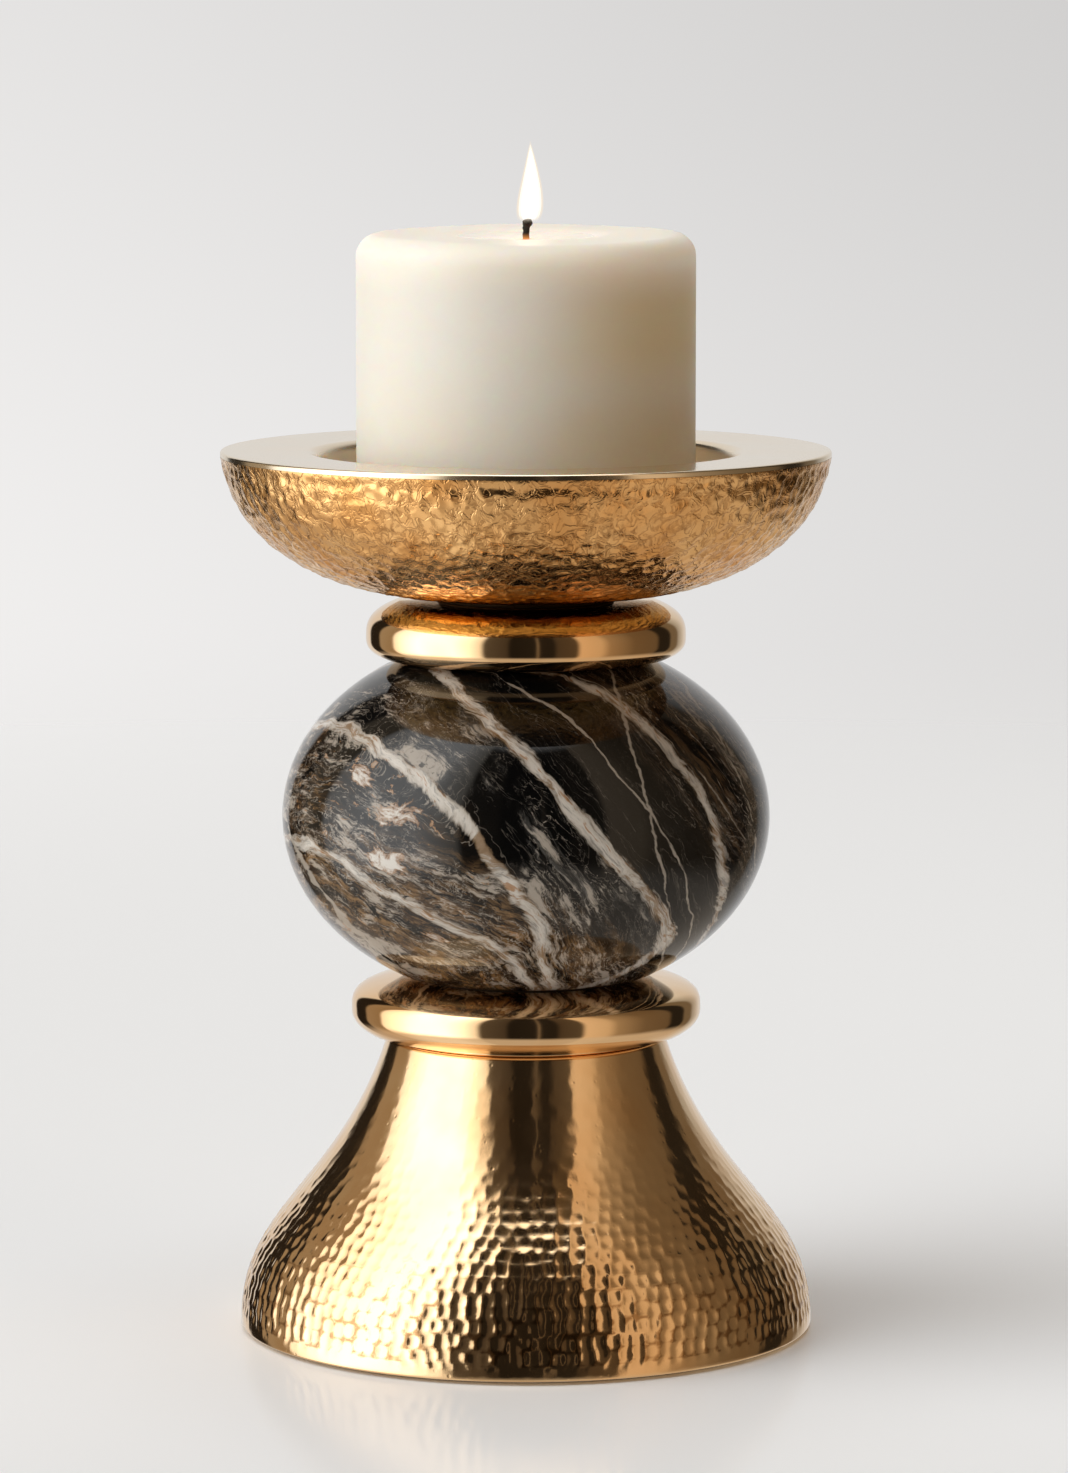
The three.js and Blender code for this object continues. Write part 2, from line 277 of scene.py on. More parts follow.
class Wire:
    """A shader socket; arithmetic on it adds Math nodes to its tree."""

    def __init__(self, shop, socket):
        self.shop = shop
        self.socket = socket

    def maths(self, operation, *values):
        inputs = dict(enumerate(values))
        return self.shop.add("ShaderNodeMath", {"operation": operation}, inputs)

    def __add__(self, other):
        return self.maths("ADD", self, other)

    def __radd__(self, other):
        return self.maths("ADD", other, self)

    def __sub__(self, other):
        return self.maths("SUBTRACT", self, other)

    def __rsub__(self, other):
        return self.maths("SUBTRACT", other, self)

    def __mul__(self, other):
        return self.maths("MULTIPLY", self, other)

    def __rmul__(self, other):
        return self.maths("MULTIPLY", other, self)

    def __truediv__(self, other):
        return self.maths("DIVIDE", self, other)

    def __pow__(self, other):
        return self.maths("POWER", self, other)

    def __abs__(self):
        return self.maths("ABSOLUTE", self)

    def lowest(self, other):
        return self.maths("MINIMUM", self, other)

    def highest(self, other):
        return self.maths("MAXIMUM", self, other)

    def fade(self, start, end):
        """Eased 0 to 1 as the value goes from start to end."""
        settings = {"interpolation_type": "SMOOTHSTEP"}
        inputs = {"Value": self, "From Min": start, "From Max": end}
        return self.shop.add("ShaderNodeMapRange", settings, inputs)


class Shop:
    """Builds one node tree."""

    def __init__(self, owner):
        owner.use_nodes = True
        self.tree = owner.node_tree
        self.tree.nodes.clear()

    def add(self, kind, settings=None, inputs=None, output=0):
        """Adds a node; its settings are made first, then its sockets get values or wires."""
        node = self.tree.nodes.new(kind)
        for key, value in (settings or {}).items():
            if key == "stops":
                fill_ramp(node.color_ramp, value)
            else:
                setattr(node, key, value)
        for key, value in (inputs or {}).items():
            socket = node.inputs[key]
            if isinstance(value, Wire):
                self.tree.links.new(value.socket, socket)
            else:
                socket.default_value = value
        return Wire(self, node.outputs[output]) if node.outputs else node

    def place(self):
        """The point, in millimetres."""
        spot = self.add("ShaderNodeTexCoord", output="Object")
        return self.add("ShaderNodeVectorMath", {"operation": "SCALE"}, {0: spot, "Scale": 1 / MM})

    def from_axis(self, spot):
        """The spot's distance from the axis, and its height."""
        x, y, z = self.split(spot)
        return (x * x + y * y) ** 0.5, z

    def split(self, vector):
        node = self.tree.nodes.new("ShaderNodeSeparateXYZ")
        self.tree.links.new(vector.socket, node.inputs[0])
        return [Wire(self, out) for out in node.outputs]

    def join(self, x, y, z):
        return self.add("ShaderNodeCombineXYZ", None, {0: x, 1: y, 2: z})

    def noise(self, vector, scale, detail=3, rough=0.55, lean=0.0, output="Fac"):
        inputs = {"Vector": vector, "Scale": scale, "Detail": detail}
        inputs |= {"Roughness": rough, "Distortion": lean}
        return self.add("ShaderNodeTexNoise", None, inputs, output)

    def blend(self, share, first, second):
        """Mixes two colours by share."""
        settings = {"data_type": "RGBA", "blend_type": "MIX"}
        return self.add("ShaderNodeMix", settings, {0: share, 6: first, 7: second}, 2)

    def attribute(self, name):
        """A number kept on the piece's vertices."""
        return self.add("ShaderNodeAttribute", {"attribute_name": name}, output="Fac")

    def ramp(self, value, stops):
        return self.add("ShaderNodeValToRGB", {"stops": stops}, {"Fac": value})

    def bump(self, height, distance):
        """distance in millimetres."""
        inputs = {"Height": height, "Distance": distance * MM, "Strength": 1.0}
        return self.add("ShaderNodeBump", None, inputs)

    def surface(self, **sockets):
        """Principled surface on the material's output; names use _ for a space."""
        named = {key.replace("_", " "): value for key, value in sockets.items()}
        body = self.add("ShaderNodeBsdfPrincipled", None, named)
        self.add("ShaderNodeOutputMaterial", None, {"Surface": body})
        return body


def fill_ramp(color_ramp, stops):
    color_ramp.interpolation = "LINEAR"
    while len(color_ramp.elements) > 1:
        color_ramp.elements.remove(color_ramp.elements[-1])
    color_ramp.elements[0].position = stops[0][0]
    for position, _ in stops[1:]:
        color_ramp.elements.new(position)
    for element, (_, color) in zip(color_ramp.elements, stops):
        element.color = rgba(color)


def rgba(color):
    """A grey level or an (r, g, b) as four numbers."""
    if isinstance(color, (int, float)):
        color = (color, color, color)
    return (*color, 1.0)


def finish_named(name):
    material = bpy.data.materials.new(name)
    return material, Shop(material)


# ---------------------------------------------------------------- gold

GOLD = (0.96, 0.69, 0.41)
GOLD_DEEP = (0.90, 0.58, 0.30)
GOLD_SHADE = (0.34, 0.17, 0.06)
DISH_GOLD = (0.98, 0.61, 0.27)
DISH_GOLD_DEEP = (0.82, 0.42, 0.14)
DISH_SHADE = (0.28, 0.12, 0.035)
DISH_AMBER_SHADE = (0.50, 0.31, 0.06)
FOOT_SHADE = (0.12, 0.07, 0.025)
PAN_GOLD = (0.90, 0.78, 0.60)


def polished_gold():
    """Mirror polish with hairlines round the axis."""
    material, shop = finish_named("polished_gold")
    spot = shop.place()
    out, z = shop.from_axis(spot)
    lines = shop.noise(shop.join(out * 3.0, z * 3.0, 0.0), 2.2, 3, 0.7)
    drift = shop.noise(spot, 0.05, 2)
    tone = shop.blend(drift.fade(0.35, 0.7), rgba(GOLD), rgba(GOLD_DEEP))
    gloss = 0.05 + shop.noise(spot, 0.2, 4, 0.65) * 0.05
    bump = shop.bump(lines, 0.0012)
    shop.surface(Base_Color=tone, Metallic=1.0, Roughness=gloss, Normal=bump)
    return material


def pan_gold():
    """Turned and polished, satin in the well: fine rings about the axis and faint radial drags."""
    material, shop = finish_named("pan_gold")
    spot = shop.place()
    x, y, z = shop.split(spot)
    out = (x * x + y * y) ** 0.5
    rings = shop.noise(shop.join(out * 4.0, z * 4.0, 0.0), 1.4, 4, 0.7)
    turn = x.maths("ARCTAN2", y, x)
    drag = shop.noise(shop.join(turn * 9.0, out * 0.05, 0.0), 2.0, 4, 0.7)
    drift = shop.noise(spot, 0.05, 2)
    tone = shop.blend(drift.fade(0.2, 0.8) * 0.3, rgba(PAN_GOLD), rgba(GOLD))
    sunk = 1 - z.fade(high("dish_pan") - 2.6, high("dish_pan") - 0.9)
    gloss = 0.11 + drag * 0.07 + rings * 0.03 + sunk * 0.30
    bump = shop.bump(rings * 0.5 + drag * 0.6, 0.006)
    shop.surface(Base_Color=tone, Metallic=1.0, Roughness=gloss, Normal=bump)
    return material


def hammered_gold():
    """Base: planished, polished, with painted shade along the ridges between blows."""
    material, shop = finish_named("hammered_gold")
    spot = shop.place()
    fine = shop.noise(spot, 1.1, 4, 0.65)
    pits = shop.add("ShaderNodeTexVoronoi", None, {"Vector": spot, "Scale": 0.42}, "Distance")
    pit = 1 - pits.fade(0.05, 0.22)
    drift = shop.noise(spot, 0.04, 3)
    tone = shop.blend(drift.fade(0.35, 0.7), rgba(GOLD), rgba(GOLD_DEEP))
    hollow = shop.attribute("hollow")
    # Painted shade: the ridges between blows are darkened, by the depth kept on each vertex.
    ridge_shade = (1 - hollow.fade(0.05, 0.50)) * fine.fade(0.20, 0.50)
    tone = shop.blend(ridge_shade * 0.85, tone, rgba(GOLD_SHADE))
    wear = shop.noise(spot, 0.2, 5, 0.65)
    gloss = 0.06 + wear * 0.09
    bump = shop.bump(fine * 0.5 - pit * 0.8, 0.012)
    shop.surface(Base_Color=tone, Metallic=1.0, Roughness=gloss, Normal=bump)
    return material


def dish_gold():
    """Dish: finer, crinkled hammering with a satin sheen; painted shade in its creases, underneath
    and at its foot.
    """
    material, shop = finish_named("dish_gold")
    spot = shop.place()
    out, z = shop.from_axis(spot)
    fine = shop.noise(spot, 0.8, 5, 0.6, 0.6)
    creases = abs(shop.noise(spot, 0.36, 3, 0.5, 1.0) - 0.5).fade(0.0, 0.09)
    drift = shop.noise(spot, 0.05, 3)
    tone = shop.blend(drift.fade(0.35, 0.7), rgba(DISH_GOLD), rgba(DISH_GOLD_DEEP))
    hollow = shop.attribute("hollow")
    # Painted shade in the creases and along the ridges between blows.
    ridge_shade = (1 - hollow.fade(0.0, 0.45)) * 0.5 + (1 - creases) * 0.5
    tone = shop.blend(ridge_shade * fine.fade(0.2, 0.6), tone, rgba(DISH_SHADE))
    # Painted shade: underneath, the bowl is tinted a darker amber.
    underside = 1 - out.fade(36.0, 48.0)
    tone = shop.blend(underside * 0.6, tone, rgba(DISH_AMBER_SHADE))
    # Painted shade: the foot, in the seam above the ring, is made nearly black.
    foot = (1 - out.fade(24.0, 36.0)) * (1 - z.fade(low("dish_bowl") + 4, low("dish_bowl") + 7))
    tone = shop.blend(foot * 0.92, tone, rgba(FOOT_SHADE))
    gloss = 0.10 + shop.noise(spot, 0.25, 5, 0.65) * 0.10
    bump = shop.bump(fine * 0.3 + creases * 0.8, 0.06)
    shop.surface(Base_Color=tone, Metallic=1.0, Roughness=gloss, Normal=bump)
    return material


def shadow_gold():
    """Flange in the seam under the dish, painted near black as painted shadow."""
    material, shop = finish_named("shadow_gold")
    shadow_mottle = shop.noise(shop.place(), 0.5, 5, 0.7)
    # Painted shadow: near black, mottled by noise that also varies roughness and bump.
    tone = shop.blend(shadow_mottle, rgba((0.03, 0.015, 0.006)), rgba((0.12, 0.06, 0.02)))
    bump = shop.bump(shadow_mottle, 0.02)
    shop.surface(Base_Color=tone, Metallic=0.6, Roughness=0.55 + shadow_mottle * 0.3, Normal=bump)
    return material


# ---------------------------------------------------------------- marble

# Each vein is a sheet through the ball: the way it faces, its distance from the ball's centre, its
# half width, its strength and how much it curls under the ball. They all face up and to the right.
LEFT_VEIN = (0.76, 0.32, 0.57)  # the busy left of the ball lies beyond this one
BROAD_VEINS = (
    ((0.745, 0.156, 0.648), 4.6, 3.4, 1.0, 0.10),
    (LEFT_VEIN, -24.8, 3.2, 1.0, 0.0),
    ((0.54, 0.74, 0.40), -3.0, 3.4, 0.85, 0.0),
    ((0.51, 0.24, 0.82), -34.0, 2.6, 0.9, 0.0),
)
THIN_VEINS = (
    ((0.70, 0.51, 0.51), -1.0, 1.2, 0.8, 0.0),
    ((0.97, 0.16, 0.18), 20.1, 1.1, 0.8, 0.0),
    ((0.62, 0.45, 0.64), 17.0, 1.2, 0.6, 0.0),
    ((0.85, 0.45, 0.28), 33.0, 1.4, 0.7, 0.0),
    ((0.72, -0.22, 0.66), -36.5, 1.8, 0.9, 0.0),
)
# Pale patches near the ball's left: where they lie from its centre, and their size.
PALE_PATCHES = (
    ((-28.4, -46.2, 6.9), 8.0),
    ((-30.5, -45.6, -3.3), 7.5),
    ((-36.0, -39.0, 13.0), 5.0),
    ((-21.0, -46.0, -22.0), 6.0),
)
CURL_BELOW = -18.0  # height from the ball's centre
STEEP = (0.73, 0.30, 0.61)  # across the veins on the right of the ball
SHALLOW = (0.47, 0.22, 0.85)  # across the streaks on its left
MARBLE_BLACK = (0.003, 0.003, 0.003)
MARBLE_HAZE = (0.020, 0.019, 0.018)
MARBLE_GREY = (0.20, 0.19, 0.175)
MARBLE_CREAM = (0.42, 0.37, 0.31)
MARBLE_WHITE = (0.66, 0.62, 0.56)
MARBLE_TAN = (0.24, 0.14, 0.062)
MARBLE_UMBER = (0.055, 0.030, 0.015)
MARBLE_OCHRE = (0.36, 0.17, 0.055)


def vectors(shop, operation, inputs, output=0):
    """Arithmetic on vectors."""
    return shop.add("ShaderNodeVectorMath", {"operation": operation}, inputs, output)


def toward(shop, spot, way):
    """How far the spot lies along a direction."""
    return vectors(shop, "DOT_PRODUCT", {0: spot, 1: way}, "Value")


def pushed(shop, spot, scale, amount, detail=2):
    """The spot, moved about by slow noise."""
    cloud = shop.noise(spot, scale, detail, 0.5, 0.0, "Color")
    level = vectors(shop, "SUBTRACT", {0: cloud, 1: (0.5, 0.5, 0.5)})
    push = vectors(shop, "SCALE", {0: level, "Scale": amount})
    return vectors(shop, "ADD", {0: spot, 1: push})


def threads(shop, flow, scale, width, lean=0.5):
    """Fine wandering lines along the flow."""
    body = shop.noise(flow, scale, 5, 0.6, lean)
    return 1 - abs(body - 0.5).fade(0.0, width)


def closeness(shop, spot, fall, swell, way, offset, half, strength, curl):
    """1 on a vein's sheet, falling to 0 beside it; the vein swells and thins along its length."""
    away = abs(toward(shop, spot, way) + fall * (curl * way[0]) - offset)
    return (1 - away / (half * (0.1 + swell * 2.0))).highest(0.0) * strength


def island(shop, spot, centre, size):
    """1 at the middle of a pale patch, falling to 0 round it; longer along the streaks."""
    x, y, z = shop.split(vectors(shop, "SUBTRACT", {0: spot, 1: centre}))
    away = ((x * 0.8 + z * 0.35) ** 2.0 + (z * 1.4) ** 2.0 + (y * 0.6) ** 2.0) ** 0.5
    return (1 - away / size).highest(0.0)


def marble():
    """Black stone: smoke and curls on the left, rust low down, and pale veins right across."""
    material, shop = finish_named("black_marble")
    lo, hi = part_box("marble_ball")
    centre = (lo + hi) / 2 / MM
    true = vectors(shop, "SUBTRACT", {0: shop.place(), 1: tuple(centre)})
    slow = pushed(shop, pushed(shop, true, 0.04, 6.0), 0.15, 2.4)
    spot = pushed(shop, slow, 0.7, 0.5, 4)
    below = (CURL_BELOW - shop.split(true)[2]).highest(0.0)
    fall = below * below
    left = 1 - toward(shop, spot, LEFT_VEIN).fade(-30.0, -19.0)
    steep = toward(shop, spot, STEEP)
    shallow = toward(shop, spot, SHALLOW)
    across = steep + (shallow - steep) * left
    down = toward(shop, spot, (0.60, 0.10, -0.79))
    deep = toward(shop, spot, (-0.35, 0.92, -0.05))
    flow = shop.join(across, down * 0.12, deep * 0.2)
    loose = shop.join(across, down * 0.40, deep * 0.5)
    swell = shop.noise(shop.join(across * 0.4, down, deep), 0.08, 4, 0.65)
    streak = shop.noise(flow, 1.1, 6, 0.72)
    strands = shop.noise(flow, 0.50, 7, 0.72, 0.8)
    wisp = shop.noise(flow, 0.17, 8, 0.68, 1.4)
    clouds = shop.noise(shop.join(across, down * 0.5, deep * 0.6), 0.085, 5, 0.62, 0.8)
    curls = shop.noise(loose, 0.17, 8, 0.70, 2.6)
    fleck = shop.noise(spot, 1.3, 5, 0.75)

    broad = 0.0
    for sheet in BROAD_VEINS:
        broad = closeness(shop, spot, fall, swell, *sheet).highest(broad)
    thin = 0.0
    for sheet in THIN_VEINS:
        thin = closeness(shop, spot, fall, swell, *sheet).highest(thin)
    pale = 0.0
    for middle, size in PALE_PATCHES:
        pale = island(shop, slow, middle, size).highest(pale)

    between = (1 - steep.fade(-14.0, 2.0)) * steep.fade(-30.0, -22.0)
    far_right = steep.fade(14.0, 26.0)
    rusty = toward(shop, true, (-0.36, -0.36, -0.86)).fade(22.0, 36.0)
    left_edge = toward(shop, true, (-0.96, -0.20, 0.10)).fade(44.0, 54.0)
    busy = (0.04 + between * 0.65 + left * 0.68 + far_right * 0.30) * clouds.fade(0.36, 0.58)

    # Smoke and streaks, thickest on the left and between the veins.
    tone = shop.blend(wisp.fade(0.45, 0.75) * busy, rgba(MARBLE_BLACK), rgba(MARBLE_HAZE))
    smoke = (wisp + strands * 0.6).fade(0.76, 0.98) * busy
    tone = shop.blend(smoke * 0.9, tone, rgba(MARBLE_GREY))
    breaks = (1 - clouds.fade(0.34, 0.42)) * left
    brown = (rusty + left_edge * 0.5 + far_right * 0.25 + breaks * 0.15).lowest(1.0)
    tone = shop.blend(brown * (strands + wisp).fade(0.80, 1.12) * 0.9, tone, rgba(MARBLE_UMBER))
    tone = shop.blend(brown * (strands + streak).fade(0.93, 1.2), tone, rgba(MARBLE_TAN))
    bright = (wisp + streak * 0.7 + busy * 0.25).fade(1.02, 1.14) * (busy * 2.0).lowest(1.0)
    tone = shop.blend(bright * 0.9, tone, rgba(MARBLE_CREAM))
    hairs = threads(shop, loose, 0.22, 0.012, 2.2) * (busy * 1.8).lowest(1.0)
    hairs = (hairs * streak.fade(0.3, 0.55)).lowest(0.9)
    tone = shop.blend(hairs, tone, rgba(MARBLE_CREAM))
    silk = threads(shop, flow, 0.33, 0.010, 1.2) * (left + between * 0.4) * curls.fade(0.44, 0.56)
    tone = shop.blend((silk * clouds.fade(0.36, 0.50)).lowest(0.85), tone, rgba(MARBLE_CREAM))
    faint = threads(shop, flow, 0.14, 0.006) * (0.15 + far_right * 0.5 + left * 0.4)
    tone = shop.blend(faint, tone, rgba(MARBLE_CREAM))
    curled = curls + strands * 0.25
    tone = shop.blend(curled.fade(0.745, 0.765) * left * 0.8, tone, rgba(MARBLE_OCHRE))
    tone = shop.blend(curled.fade(0.76, 0.82) * left * (0.4 + streak), tone, rgba(MARBLE_CREAM))
    gaps = (1 - curls.fade(0.38, 0.44)) * (left + between * 0.6).lowest(1.0)
    tone = shop.blend(gaps, tone, rgba(MARBLE_BLACK))

    # Veins: rusty flanks, a frayed pale body of many strands, darker hairlines inside.
    flank = (broad * 0.7 + wisp * 0.8 + strands * 0.5).fade(1.0, 1.3)
    tone = shop.blend(flank * 0.8, tone, rgba(MARBLE_TAN))
    body = (broad * 0.70 + strands * 0.80 + streak * 0.50).fade(0.98, 1.16)
    core = (broad * 0.4 + strands).fade(0.66, 1.0)
    vein_tone = shop.blend(core, rgba(MARBLE_CREAM), rgba(MARBLE_WHITE))
    vein_tone = shop.blend(streak.fade(0.52, 0.62) * 0.7, vein_tone, rgba(MARBLE_GREY))
    vein_tone = shop.blend((1 - strands.fade(0.40, 0.49)) * 0.75, vein_tone, rgba(MARBLE_TAN))
    vein_tone = shop.blend((1 - streak.fade(0.37, 0.43)) * 0.8, vein_tone, rgba(MARBLE_OCHRE))
    tone = shop.blend(body, tone, vein_tone)
    slim = (thin * 0.72 + strands + streak * 0.2).fade(1.0, 1.14)
    tone = shop.blend(slim * 0.85, tone, rgba(MARBLE_CREAM))
    patchy = pale * 0.5 + curls * 1.2 + strands * 0.5
    tone = shop.blend(patchy.fade(1.13, 1.17) * 0.6, tone, rgba(MARBLE_OCHRE))
    tone = shop.blend(patchy.fade(1.15, 1.34), tone, rgba(MARBLE_WHITE))
    tone = shop.blend(fleck.fade(0.70, 0.76) * 0.5, tone, rgba(MARBLE_GREY))
    gloss = 0.03 + fleck * 0.03
    shop.surface(Base_Color=tone, Roughness=gloss, IOR=1.46)
    return material


# ---------------------------------------------------------------- wax, wick and flame

WAX = (0.84, 0.825, 0.77)
WAX_WARM = (0.83, 0.77, 0.65)
WAX_SHADE = (0.74, 0.60, 0.35)


def wax():
    """Ivory wax, with painted tan shade down its right side. Light soaks in; a painted glow by the
    flame lights its top.
    """
    material, shop = finish_named("ivory_wax")
    spot = shop.place()
    x, y, z = shop.split(spot)
    out = (x * x + y * y) ** 0.5
    top = high("candle_wax")
    cloud = shop.noise(spot, 0.05, 3)
    bloom = shop.noise(spot, 0.6, 4, 0.65)
    tone = shop.blend(cloud.fade(0.3, 0.7) * 0.3, rgba(WAX), rgba(WAX_WARM))
    # Painted shade: the right side is tinted a deeper tan, most of all in a band below the
    # shoulder.
    band = z.fade(top - 36.0, top - 22.0) * (1 - z.fade(top - 15.0, top - 7.0))
    side_shade = x.fade(-4.0, 30.0) * (1 - z.fade(top - 9.0, top - 5.0)) * (0.40 + band * 0.45)
    tone = shop.blend(side_shade, tone, rgba(WAX_SHADE))
    # Painted light: emission near the wick, at the pool's front lip and in the top of the wax.
    near_flame = (1 - out.fade(3.0, 24.0)) * z.fade(top - 9.0, top - 1.0)
    near_wick = (1 - out.fade(0.8, 5.0)) * z.fade(top - 4.0, top - 1.0)
    lit_edge = 1 - ((x - 0.9) ** 2.0 + ((y + POOL_RADIUS * 0.85) * 1.6) ** 2.0).fade(4.0, 60.0)
    lit_edge = lit_edge * z.fade(top - 4.0, top - 1.0)
    through = z.fade(top - 13.0, top - 3.0)
    glow = shop.blend(near_wick, rgba((1.0, 0.72, 0.42)), rgba((1.0, 0.42, 0.12)))
    amount = near_flame * 0.02 + near_wick * 0.22 + lit_edge * 0.14 + through * 0.08
    light = shop.blend(amount.lowest(1.0), rgba(0.0), glow)
    wet = (1 - out.fade(POOL_RADIUS - 3.0, POOL_RADIUS)) * z.fade(top - 4.0, top - 2.0)
    gloss = 0.42 - wet * 0.3 + bloom * 0.08
    bump = shop.bump(bloom, 0.02)
    shop.surface(
        Base_Color=tone, Roughness=gloss, Normal=bump, IOR=1.43, Subsurface_Weight=0.75,
        Subsurface_Radius=(1.0, 0.55, 0.30), Subsurface_Scale=12 * MM,
        Emission_Color=light, Emission_Strength=1.0,
    )
    return material


def charred_cotton():
    """Sooty cotton with a painted orange glow where it leaves the wax."""
    material, shop = finish_named("charred_cotton")
    spot = shop.place()
    z = shop.split(spot)[2]
    root = high("candle_wick") - 4.6
    # Painted light: the wick's root is tinted orange and made to glow.
    painted_glow_mask = 1 - z.fade(root - 0.6, root + 1.6)
    soot = shop.noise(spot, 2.5, 4, 0.7)
    tone = shop.blend(soot, rgba((0.006, 0.005, 0.004)), rgba((0.03, 0.022, 0.016)))
    tone = shop.blend(painted_glow_mask * 0.6, tone, rgba((0.35, 0.15, 0.05)))
    painted_glow = shop.blend(painted_glow_mask, rgba(0.0), rgba((1.0, 0.36, 0.08)))
    bump = shop.bump(soot, 0.12)
    shop.surface(
        Base_Color=tone, Roughness=0.95, Normal=bump, Emission_Color=painted_glow, Emission_Strength=0.9,
    )
    return material


def flame_layer(name, color, strength, thick, foot, tip):
    """One layer of the flame: clear at the foot, fullest above the wick, thinning at the tip."""
    material, shop = finish_named(name)
    z = shop.split(shop.place())[2]
    share = (z - foot) / (tip - foot)
    full = share.fade(0.03, 0.22) * (1 - share.fade(0.80, 1.0) * 0.5)
    shop.surface(
        Base_Color=rgba(0.0), Roughness=1.0, Specular_IOR_Level=0.0, Alpha=full * thick,
        Emission_Color=rgba(color), Emission_Strength=strength,
    )
    return material


# ---------------------------------------------------------------- hidden pieces' finishes

def felt():
    material, shop = finish_named("felt")
    fibre = shop.noise(shop.place(), 1.8, 6, 0.75, 1.2)
    tone = shop.blend(fibre, rgba(0.006), rgba(0.05))
    bump = shop.bump(fibre, 0.3)
    shop.surface(Base_Color=tone, Roughness=1.0, Normal=bump)
    return material


def board():
    material, shop = finish_named("hardboard")
    chips = shop.noise(shop.place(), 0.7, 6, 0.7, 0.8)
    tone = shop.blend(chips, rgba((0.12, 0.07, 0.035)), rgba((0.30, 0.20, 0.11)))
    bump = shop.bump(chips, 0.08)
    shop.surface(Base_Color=tone, Roughness=0.85, Normal=bump)
    return material


def pressed_fibre():
    material, shop = finish_named("pressed_fibre")
    fibre = shop.noise(shop.place(), 1.4, 5, 0.7)
    tone = shop.blend(fibre, rgba((0.012, 0.010, 0.008)), rgba((0.05, 0.04, 0.03)))
    bump = shop.bump(fibre, 0.05)
    shop.surface(Base_Color=tone, Roughness=0.9, Normal=bump)
    return material


def plated(name, light, dark, rough):
    """Plated steel with a faint crystal pattern."""
    material, shop = finish_named(name)
    spot = shop.place()
    spangle = shop.add("ShaderNodeTexVoronoi", None, {"Vector": spot, "Scale": 0.5}, "Color")
    cells = shop.split(spangle)[0]
    tone = shop.blend(cells, rgba(light), rgba(dark))
    gloss = rough + shop.noise(spot, 0.6, 4) * 0.12
    bump = shop.bump(shop.noise(spot, 2.0, 3), 0.01)
    shop.surface(Base_Color=tone, Metallic=1.0, Roughness=gloss, Normal=bump)
    return material


# ---------------------------------------------------------------- holder: base, collar, rings, ball

FOOT_BAND = 2.0  # plain band round the foot, below the hammering
FOOT_ROUND = 0.5
SIDE_DRAFT = 0.2  # the side's curve pulls in this much from the foot
SIDE_SHARE = 0.39  # at this share of the base's height
SWEEP_REACH = 10.6  # and reaches this far outside the shoulder
SWEEP_SHARE = 0.49
SHOULDER_ROUND = 0.8
SHOULDER_STEP = 0.9  # the base's top stands this far outside the collar
BASE_WALL = 2.2
BASE_TOP = 3.0
LEDGE = 1.4
SLIP = 0.3
SEAT_GAP = 0.05
ROD_HOLE = 3.6
BLOW_FAINT = 0.025  # depth of a blow at the base's top
BLOW_DEEP = 0.28  # and near its foot


def base_outer(count):
    """The base's curve from foot to shoulder: its corner points, and the points along it."""
    foot, shoulder = radius("base_shell"), radius("base_collar") + SHOULDER_STEP
    top = high("base_shell")
    corners = (
        (foot, low("base_shell") + FOOT_BAND),
        (foot - SIDE_DRAFT, top * SIDE_SHARE),
        (shoulder + SWEEP_REACH, top * SWEEP_SHARE),
        (shoulder, top - SHOULDER_ROUND),
    )
    return corners, cubic(corners, count)


def hammered_base(finish):
    """Hollow bell with a flat top. Each blow is in the mesh, faint above and deep near the foot."""
    foot, bottom, top = radius("base_shell"), low("base_shell"), high("base_shell")
    shoulder = radius("base_collar") + SHOULDER_STEP
    inner_foot = radius("base_cover_plate") + SLIP
    ledge = high("base_cover_plate") + SEAT_GAP
    corners, outer = base_outer(98)
    inner = [p for p in cubic(corners, 12, BASE_WALL) if ledge + LEDGE < p[1] < top - BASE_TOP]
    outline = [
        *outer,
        *arc(shoulder - SHOULDER_ROUND, top - SHOULDER_ROUND, SHOULDER_ROUND, 25, 90, 4),
        (ROD_HOLE, top),
        (ROD_HOLE, top - BASE_TOP),
        (inner[-1][0], top - BASE_TOP),
        *reversed(inner),
        (inner_foot - LEDGE, ledge),
        (inner_foot, ledge),
        (inner_foot, bottom),
        *arc(foot - FOOT_ROUND, bottom + FOOT_ROUND, FOOT_ROUND, -90, 0, 4),
    ]
    piece = turned("hammered_base", outline, 800)
    points, normals = points_of(piece), normals_of(piece)
    around, angle = round_axis(points)
    run = run_along(points, outer)
    marks = hammer_marks(
        angle, run, around,
        row_pitch=3.2, mark_pitch=3.1, wander=0.36, blow_size=1.85, power=2.2, seed=11,
    )
    height = points[:, 2]
    outside = (around > radius_at(outer, height) - 0.3) & (height > bottom + FOOT_BAND)
    low_down = 1 - ramp(height, bottom + 8, bottom + 48)
    depth = BLOW_FAINT + (BLOW_DEEP - BLOW_FAINT) * low_down
    depth *= ramp(height, bottom + 1.6, bottom + 4.0)
    depth *= 1 - ramp(height, top - 4, top - 1.5)
    move = np.where(outside, -depth * marks, 0)
    note(piece, "hollow", np.where(outside, 1 - (1 - marks) * depth / BLOW_DEEP, 1))
    put_points(piece, points + normals * move[:, None])
    return finished(piece, "holder", finish, "hammered_brass", "base_shell")


def radius_at(outline, height):
    outline = np.array(outline)
    return np.interp(height, *sorted_pair(outline[:, 1], outline[:, 0]))


def finished(piece, body, material, slot, *nodes):
    """Gives a made piece its finish, its body and the CAD nodes it stands for."""
    piece.data.materials.clear()
    piece.data.materials.append(material)
    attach(piece, body)
    if nodes:
        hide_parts(*nodes)
    return piece


